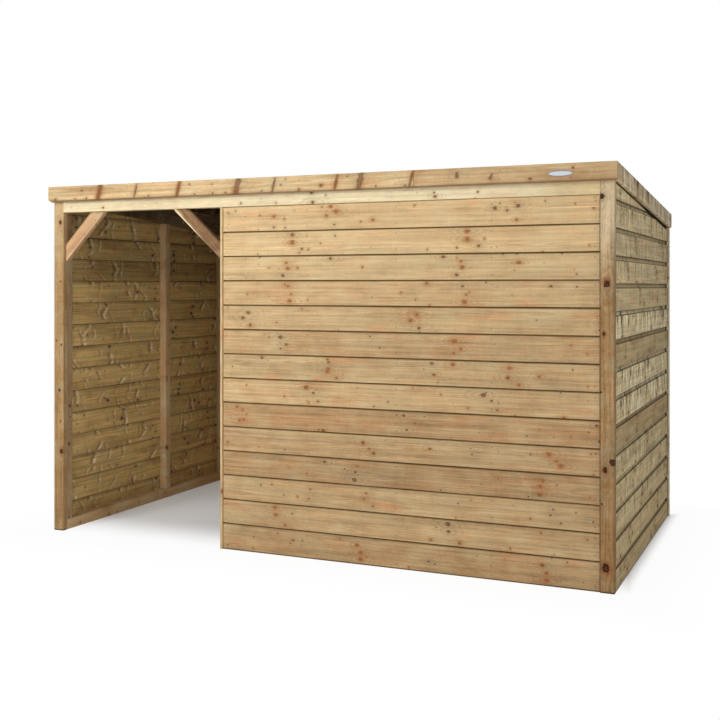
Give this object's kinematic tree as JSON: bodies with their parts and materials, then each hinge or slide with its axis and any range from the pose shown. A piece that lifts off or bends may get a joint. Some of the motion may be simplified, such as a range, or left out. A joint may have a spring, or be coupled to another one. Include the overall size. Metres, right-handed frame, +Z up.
{
  "type": "horse field shelter",
  "caption": "Open timber field shelter for horses: lapped board walls on a stud frame, a wide doorway with corner braces, and a low single-pitch felted roof.",
  "frame": {"origin": "on the ground, under the middle of the whole outline", "axes": "+Z up, the doorway and front panel face -Y, the doorway is towards -X"},
  "size_m": [3.7, 2.14, 2.2622],
  "materials": {
    "posts": "sawn softwood, pressure treated, honey tan with dark knots",
    "beam": "planed softwood, pressure treated, pale yellow",
    "braces": "planed softwood, pressure treated, warm pinkish tan",
    "front_boards": "planed softwood, pressure treated, honey tan",
    "wall_boards": "rough sawn softwood, pressure treated, grey green tan",
    "framing": "sawn softwood, pressure treated, olive brown",
    "fascia_boards": "planed softwood, pressure treated, brownish tan",
    "roof_sheets": "strand board",
    "roof_felt": "mineral felt, matt charcoal green",
    "fixings": "dull zinc plated nails and screws",
    "plate": "small bare oval plate"
  },
  "bodies": {
    "root": {"front_left_post": "posts", "front_right_post": "posts", "front_beam": "beam", "left_brace": "braces", "right_brace": "braces", "front_panel_cladding": "front_boards", "front_panel_edge_batten": "posts", "front_panel_bottom_rail": "framing", "front_panel_top_rail": "framing", "doorway_stud": "framing", "front_panel_studs": "framing", "left_wall_cladding": "wall_boards", "left_wall_bottom_rail": "framing", "left_wall_top_rail": "framing", "left_wall_front_stile": "framing", "left_wall_mid_stud": "framing", "left_wall_rear_stile": "framing", "right_wall_cladding": "wall_boards", "right_wall_bottom_rail": "framing", "right_wall_top_rail": "framing", "right_wall_front_stile": "framing", "right_wall_mid_stud": "framing", "right_wall_rear_stile": "framing", "back_wall_left_cladding": "wall_boards", "back_wall_right_cladding": "wall_boards", "back_wall_bottom_rail": "framing", "back_wall_top_rail": "framing", "back_wall_left_studs": "framing", "back_wall_right_studs": "framing", "rear_left_corner_trim": "posts", "rear_right_corner_trim": "posts", "roof_rafters": "framing", "roof_deck": "roof_sheets", "roof_felt": "roof_felt", "front_fascia": "fascia_boards", "rear_fascia": "fascia_boards", "left_fascia": "fascia_boards", "right_fascia": "fascia_boards"}
  },
  "joints": []
}
